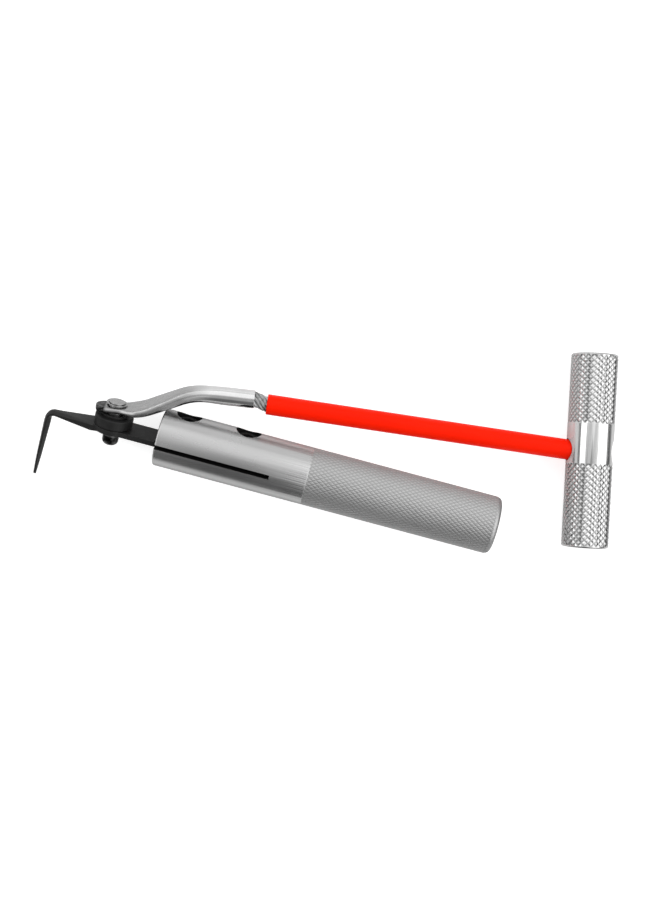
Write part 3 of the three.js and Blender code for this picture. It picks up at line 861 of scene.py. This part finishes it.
class Nodes:
    """Adds nodes to one tree. An input is a number, a colour or another node's output."""

    def __init__(self, tree):
        self.tree = tree

    def add(self, kind, inputs=None, **settings):
        made = self.tree.nodes.new("ShaderNode" + kind)
        for key, value in settings.items():
            setattr(made, key, value)
        for key, value in (inputs or {}).items():
            if isinstance(value, bpy.types.NodeSocket):
                self.tree.links.new(value, made.inputs[key])
            else:
                made.inputs[key].default_value = value
        return made

    def math(self, operation, a, b=0.0):
        return self.add("Math", {0: a, 1: b}, operation=operation).outputs[0]

    def noise(self, scale, stretch=(1, 1, 1), detail=4.0, roughness=0.6):
        """Grain in the piece's own frame. A low stretch draws the grain out along that axis."""
        place = self.add("TexCoord").outputs["Object"]
        mapped = self.add("Mapping", {"Vector": place, "Scale": stretch}).outputs[0]
        inputs = {"Vector": mapped, "Scale": scale, "Detail": detail, "Roughness": roughness}
        return self.add("TexNoise", inputs).outputs["Fac"]

    def between(self, value, low, high):
        """The value, which runs from 0 to 1, stretched to run from low to high."""
        return self.add("MapRange", {"Value": value, "To Min": low, "To Max": high}).outputs[0]

    def ramp(self, value, stops):
        made = self.add("ValToRGB", {"Fac": value})
        elements = made.color_ramp.elements
        while len(elements) < len(stops):
            elements.new(0.5)
        for element, (position, level) in zip(elements, stops):
            element.position = position
            element.color = (level, level, level, 1)
        return made.outputs[0]

    def mix(self, share, a, b):
        made = self.add("Mix", {"Factor": share}, data_type="RGBA")
        for socket, value in ((made.inputs[6], a), (made.inputs[7], b)):
            if isinstance(value, bpy.types.NodeSocket):
                self.tree.links.new(value, socket)
            else:
                socket.default_value = value
        return made.outputs[2]

    def bump(self, height, strength, distance, normal=None):
        inputs = {"Height": height, "Strength": strength, "Distance": distance}
        if normal:
            inputs["Normal"] = normal
        return self.add("Bump", inputs).outputs[0]

    def rounded(self, radius):
        """The normal with every edge rounded to that radius."""
        return self.add("Bevel", {"Radius": radius * MM}, samples=6).outputs[0]

    def far_out(self, low, high):
        """0 to 1 as the distance from the piece's own x axis goes from low to high, in millimetres."""
        parts = self.add("SeparateXYZ", {0: self.add("TexCoord").outputs["Object"]}).outputs
        squares = self.math("ADD", self.math("POWER", parts[1], 2.0), self.math("POWER", parts[2], 2.0))
        limits = {"Value": self.math("SQRT", squares), "From Min": low * MM, "From Max": high * MM}
        return self.add("MapRange", limits).outputs[0]

    def along(self, low, high):
        """0 to 1 as the place along the piece's own x axis goes from low to high, in millimetres."""
        parts = self.add("SeparateXYZ", {0: self.add("TexCoord").outputs["Object"]}).outputs
        limits = {"Value": parts[0], "From Min": low * MM, "From Max": high * MM}
        return self.add("MapRange", limits).outputs[0]

    def rim(self, low, high):
        """0 to 1 as the surface turns from facing the viewer to lying along the line of sight."""
        facing = self.add("LayerWeight", {"Blend": 0.5}).outputs["Facing"]
        return self.add("MapRange", {"Value": facing, "From Min": low, "From Max": high}).outputs[0]

    def edges(self, rounded, low, high):
        """1 near an edge and 0 away from it, from the rounded normal."""
        flat = self.add("NewGeometry").outputs["Normal"]
        same = self.add("VectorMath", {0: rounded, 1: flat}, operation="DOT_PRODUCT").outputs["Value"]
        away = self.math("SUBTRACT", 1.0, same)
        limits = {"Value": away, "From Min": low, "From Max": high}
        return self.add("MapRange", limits).outputs[0]


def grey(level):
    return (level, level, level, 1.0)


looks = {}  # the materials made so far. The CAD's own materials have the same names in bpy.data.


def surface(name, build):
    """A material whose build function returns the Principled shader's inputs. Each is made once."""
    if name in looks:
        return looks[name]
    material = bpy.data.materials.new(name)
    looks[name] = material
    material.use_nodes = True
    shader = material.node_tree.nodes["Principled BSDF"]
    nodes = Nodes(material.node_tree)
    for key, value in build(nodes).items():
        if isinstance(value, bpy.types.NodeSocket):
            material.node_tree.links.new(value, shader.inputs[key])
        else:
            shader.inputs[key].default_value = value
    return material


def turned_aluminium():
    """Satin aluminium with the fine rings that turning leaves, with painted shade in the grooves of its knurl
    and along its outline, where the surface turns away from the view.
    """

    def build(n):
        rings = n.noise(900, (1, 0.02, 0.02), 3)
        blotch = n.noise(60, (0.4, 1, 1), 3)
        grain = n.noise(1500, (0.08, 1, 1), 2)
        metal = n.mix(blotch, grey(0.46), grey(0.54))
        # Painted shade: the knurl's grooves are coloured darker than its crowns.
        crown = n.far_out(HANDLE_RADIUS - GRIP_KNURL["depth"], HANDLE_RADIUS - 0.05)
        knurled = n.along(GRIP_START, GRIP_START + 0.5)
        # Painted shade: the colour darkens to grey(0.12) along the outline, where the surface turns away from
        # the view.
        colour = n.mix(n.rim(0.6, 0.95), n.mix(crown, grey(0.36), metal), grey(0.12))
        normal = n.bump(rings, 0.12, 0.02 * MM, n.rounded(0.06))
        normal = n.bump(grain, 0.08, 0.02 * MM, normal)
        return {
            "Base Color": colour,
            "Metallic": 1.0,
            "Roughness": n.math("ADD", n.between(blotch, 0.2, 0.32), n.math("MULTIPLY", knurled, 0.2)),
            "Anisotropic": 0.5,
            "Tangent": n.add("Tangent", direction_type="RADIAL", axis="X").outputs[0],
            "Normal": normal,
        }

    return surface("turned_aluminium", build)


def chrome():
    """Bright plating on the T-handle, with faint rings on the polished band."""

    def build(n):
        rings = n.noise(700, (1, 0.02, 0.02), 3)
        blotch = n.noise(90, (1, 1, 1), 3)
        # Painted shade: the knurl's grooves are coloured darker than its crowns.
        crown = n.far_out(BAR_RADIUS - BAR_KNURL["depth"], BAR_RADIUS - 0.1)
        return {
            "Base Color": n.mix(crown, grey(0.3), n.mix(blotch, grey(0.6), grey(0.7))),
            "Metallic": 1.0,
            "Roughness": n.between(blotch, 0.1, 0.2),
            "Normal": n.bump(rings, 0.06, 0.02 * MM, n.rounded(0.12)),
        }

    return surface("chrome", build)


def plated_steel():
    """Plated steel: dark and mottled on the lug's nose and the pivot screw's lower end, then brushed and
    cloudy, and polished where the lug is round."""

    def build(n):
        cloud = n.noise(220, (1, 1, 1), 5)
        streak = n.noise(700, (0.06, 1, 1), 3)
        fine = n.noise(1600, (1, 1, 1), 2)
        # Darker and mottled at low x in each piece's own frame: the lug's nose and the pivot screw's lower
        # end.
        darkened = n.mix(n.ramp(cloud, ((0.46, 0), (0.66, 1))), grey(0.006), grey(0.16))
        brushed = n.mix(streak, grey(0.26), grey(0.5))
        polished = n.mix(cloud, grey(0.66), grey(0.8))
        polish = n.along(*LUG_POLISH_STARTS)
        clean = n.mix(polish, brushed, polished)
        rough = n.math("SUBTRACT", n.between(cloud, 0.18, 0.36), n.math("MULTIPLY", polish, 0.12))
        return {
            "Base Color": n.mix(n.along(*LUG_DARK_ENDS), darkened, clean),
            "Metallic": 1.0,
            "Roughness": rough,
            "Normal": n.bump(fine, 0.08, 0.03 * MM, n.bump(cloud, 0.1, 0.08 * MM, n.rounded(0.2))),
        }

    return surface("plated_steel", build)


def rope_steel():
    """Drawn wire, lighter and darker in random patches."""

    def build(n):
        grime = n.noise(700, (1, 1, 1), 3)
        return {
            "Base Color": n.mix(n.ramp(grime, ((0.35, 0), (0.7, 1))), grey(0.6), grey(0.25)),
            "Metallic": 1.0,
            "Roughness": n.between(grime, 0.22, 0.4),
        }

    return surface("rope_steel", build)


def black_oxide():
    """Blackened steel: nearly matte, mottled, and rubbed to bare metal along its edges."""

    def build(n):
        mottle = n.noise(350, (1, 1, 1), 5)
        fine = n.noise(2200, (1, 1, 1), 2)
        rounded = n.rounded(0.3)
        worn = n.math("MULTIPLY", n.edges(rounded, 0.02, 0.25), n.ramp(mottle, ((0.3, 0.1), (0.75, 1))))
        dark = n.mix(mottle, grey(0.005), grey(0.015))
        return {
            "Base Color": n.mix(n.math("MULTIPLY", worn, 0.3), dark, grey(0.2)),
            "Metallic": n.math("MULTIPLY", worn, 0.5),
            "Roughness": n.between(mottle, 0.42, 0.6),
            "Specular IOR Level": 0.25,
            "Normal": n.bump(fine, 0.15, 0.03 * MM, n.bump(mottle, 0.1, 0.06 * MM, rounded)),
        }

    return surface("black_oxide", build)


def painted_shade_black():
    """The slit, the screw holes and the screws in them: all painted black, for the shade deep inside the
    handle.
    """

    def build(n):
        shade_mottle = n.noise(300, (1, 1, 1), 4)
        return {
            "Base Color": n.mix(shade_mottle, grey(0.002), grey(0.012)),
            "Roughness": n.between(shade_mottle, 0.6, 0.8),
            "Specular IOR Level": 0.1,
        }

    return surface("painted_shade_black", build)


def red_plastic():
    """Smooth soft plastic of one strong colour, with the faint ripple of an extruded sleeve. The metal beside
    it picks up only a hint of its colour, so it is paler to mirrored rays."""

    def build(n):
        ripple = n.noise(160, (0.25, 1, 1), 3)
        fine = n.noise(2500, (1, 1, 1), 2)
        red = n.mix(ripple, (0.93, 0.009, 0.0, 1), (0.96, 0.015, 0.0, 1))
        mirrored = n.math("MULTIPLY", n.add("LightPath").outputs["Is Glossy Ray"], 0.85)
        return {
            "Base Color": n.mix(mirrored, red, grey(0.6)),
            "Roughness": n.between(ripple, 0.3, 0.42),
            "Specular IOR Level": 0.06,
            "Subsurface Weight": 0.05,
            "Subsurface Scale": 0.5 * MM,
            "Normal": n.bump(fine, 0.05, 0.02 * MM, n.bump(ripple, 0.2, 0.05 * MM)),
        }

    return surface("red_plastic", build)


# ---- Studio -------------------------------------------------------------------------------------------

CAMERA_HEIGHT = 0.62
CAMERA_FROM_FRONT = (0.0805, 0.0148)  # from the centre of the handle's front face
CAMERA_TURN = math.radians(14.95)
SENSOR = 36.0
FRAME_LONG_SIDE = 0.432  # what the frame's long side takes in at the handle's height
BENCH_HALF_SIDE = 6.0
BENCH_SLACK = 0.2  # millimetres that the T-handle may dip into the bench before the bench sinks

# What each side of the studio shines on the object: pairs of angle from straight up and brightness.
SIDES = {
    "right": ((0, 0.8), (22, 0.8), (32, 2.4), (76, 2.4), (80, 0.15), (90, 0.1)),
    "left": ((0, 0.8), (34, 0.8), (38, 2.2), (58, 2.2), (62, 0.15), (69, 0.15), (72, 0.9), (90, 0.9)),
    "far": ((0, 0.9), (6, 1.2), (52, 1.2), (59, 0.95), (61, 0.6), (63, 0.6), (65, 1.0), (90, 1.0)),
    "near": ((0, 0.8), (4, 0.44), (34, 0.38), (48, 0.12), (90, 0.1)),
}

# In reflections the bench ends in a dark room: where it starts to darken, and where it is dark, in metres.
BENCH_ENDS = {"right": (0.08, 0.13), "near": (0.09, 0.15)}


def studio_light():
    """A procedural light tent: each side of the world has its own run of light and dark panels."""
    world = bpy.data.worlds.new("studio")
    bpy.context.scene.world = world
    world.use_nodes = True
    tree = world.node_tree
    n = Nodes(tree)
    direction = n.add("TexCoord").outputs["Generated"]
    parts = n.add("SeparateXYZ", {0: direction}).outputs
    flat = n.math("MAXIMUM", n.math("SQRT", n.math("SUBTRACT", 1.0, n.math("POWER", parts[2], 2.0))), 0.001)
    from_up = n.math("DIVIDE", n.math("ARCCOSINE", parts[2]), math.pi / 2)
    total = None
    directions = {"right": (0, 1), "left": (0, -1), "far": (1, 1), "near": (1, -1)}
    for side, (axis, sign) in directions.items():
        facing = n.math("MAXIMUM", n.math("MULTIPLY", n.math("DIVIDE", parts[axis], flat), sign), 0.0)
        level = n.ramp(from_up, [(angle / 90, value) for angle, value in SIDES[side]])
        light = n.math("MULTIPLY", n.math("POWER", facing, 2.0), level)
        total = light if total is None else n.math("ADD", total, light)
    seen = n.add("LightPath").outputs["Is Camera Ray"]
    unseen = n.math("MULTIPLY", n.math("SUBTRACT", 1.0, seen), total)
    background = n.math("ADD", seen, unseen)
    tree.links.new(background, tree.nodes["Background"].inputs["Color"])


def paper():
    """White paper that glows a little, so that only the faintest shadows are left on it."""
    material = bpy.data.materials.new("paper")
    material.use_nodes = True
    tree = material.node_tree
    tree.nodes.clear()
    n = Nodes(tree)
    lit = n.add("BsdfDiffuse", {"Color": grey(0.6)}).outputs[0]
    glow = n.add("Emission", {"Color": grey(0.7)}).outputs[0]
    direct = n.add("AddShader", {0: lit, 1: glow}).outputs[0]
    place = n.add("SeparateXYZ", {0: n.add("NewGeometry").outputs["Position"]}).outputs
    outward = {"right": place[0], "near": n.math("MULTIPLY", place[1], -1.0)}
    lights = []
    for side, (near, far) in BENCH_ENDS.items():
        limits = {"Value": outward[side], "From Min": near, "From Max": far, "To Min": 0.78, "To Max": 0.08}
        lights.append(n.add("MapRange", limits).outputs[0])
    mirrored = n.add("BsdfDiffuse", {"Color": n.math("MINIMUM", *lights)}).outputs[0]
    glossy = n.add("LightPath").outputs["Is Glossy Ray"]
    mixed = n.add("MixShader", {0: glossy, 1: direct, 2: mirrored}).outputs[0]
    tree.links.new(mixed, n.add("OutputMaterial").inputs["Surface"])
    return material


def sink_with(bench, bar):
    """The bench sinks when a joint swings an end of the T-handle below it, so that it hides nothing."""
    for end in (-BAR_LENGTH / 2, BAR_LENGTH / 2):
        marker = bpy.data.objects.new("bar_end", None)
        bpy.context.scene.collection.objects.link(marker)
        marker.parent = bar
        marker.location = (end * MM, 0, 0)
        limit = bench.constraints.new("FLOOR")
        limit.target = marker
        limit.floor_location = "FLOOR_NEGATIVE_Z"
        limit.offset = -(BAR_RADIUS - BENCH_SLACK) * MM


def floor(bar):
    """The paper-covered bench that the tool lies on."""
    size = BENCH_HALF_SIDE
    corners = [(-size, -size), (size, -size), (size, size), (-size, size)]
    mesh = bpy.data.meshes.new("floor")
    mesh.from_pydata([(x, y, 0) for x, y in corners], [], [(0, 1, 2, 3)])
    bench = bpy.data.objects.new("floor", mesh)
    bench.location.z = BENCH_Z
    bpy.context.scene.collection.objects.link(bench)
    mesh.materials.append(paper())
    sink_with(bench, bar)


def camera():
    data = bpy.data.cameras.new("camera")
    data.sensor_width = SENSOR
    data.lens = SENSOR * CAMERA_HEIGHT / FRAME_LONG_SIDE
    data.clip_start = 0.01
    view = bpy.data.objects.new("camera", data)
    bpy.context.scene.collection.objects.link(view)
    forward, across = CAMERA_FROM_FRONT
    view.location = (HANDLE_LOW.x + forward, across, CAMERA_HEIGHT)
    view.rotation_euler = (0, 0, CAMERA_TURN)
    bpy.context.scene.camera = view


# ---- Assembly -----------------------------------------------------------------------------------------


def mount(piece, body, nodes, material=None):
    """Fixes a piece to its CAD body, in place of the CAD nodes named."""
    if material:
        piece.data.materials.clear()
        piece.data.materials.append(material)
        shade(piece)
    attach(piece, body)
    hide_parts(*nodes)


def flex(piece, nodes):
    """Fixes the piece where it stands, on no body, in place of the CAD nodes named."""
    bpy.context.view_layer.update()
    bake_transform(piece)
    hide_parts(*nodes)


def assemble():
    """Makes and mounts every piece, and gives back the T-handle."""
    at_pivot = along_z(shift(TOOL, PIVOT_X))
    mount(handle(), "knife", ["handle_body"])
    mount(blade(), "knife", ["hook_blade"])
    for place, x in clamp_places():
        at = along_z(shift(TOOL, x, CLAMP_SIDE))
        # The clamp screws and their washers, deep in the counterbores, are painted black for the shade there.
        screw = clamp_screw(f"cap_screw_{place}", at)
        mount(screw, "knife", [f"clamp_screw_{place}"], painted_shade_black())
        ring = washer(f"screw_ring_{place}", at, CLAMP_WASHER, CLAMP_BORE_RADIUS)
        mount(ring, "knife", [f"clamp_washer_{place}"], painted_shade_black())
    mount(pivot_screw(), "knife", ["pivot_screw"], plated_steel())
    head_ring = washer("head_ring", at_pivot, HEAD_WASHER, PIVOT_HOLE_RADIUS, 0.08)
    mount(head_ring, "knife", ["pivot_head_washer"], plated_steel())
    strap_ring = washer("strap_ring", at_pivot, STRAP_WASHER, PIVOT_HOLE_RADIUS, 0.08)
    mount(strap_ring, "knife", ["pivot_strap_washer"], black_oxide())
    spacer = washer("spacer", at_pivot, SPACER, PIVOT_HOLE_RADIUS, 0.35)
    mount(spacer, "knife", ["pivot_spacer"], black_oxide())
    mount(lug(), "pull_lug", ["cable_lug"])
    flex(rope(), ["cable_front", "cable_rear"])
    flex(sleeve(), ["sleeve_front", "sleeve_rear"])
    mount(ferrule(), "cable_end", ["stop_ferrule"], plated_steel())
    mount(stop_washer(), "cable_end", ["stop_washer"], plated_steel())
    bar = t_handle()
    mount(bar, "t_handle", ["t_bar"])
    return bar


bar_piece = assemble()
studio_light()
floor(bar_piece)
camera()
bpy.context.scene.view_settings.view_transform = "Standard"
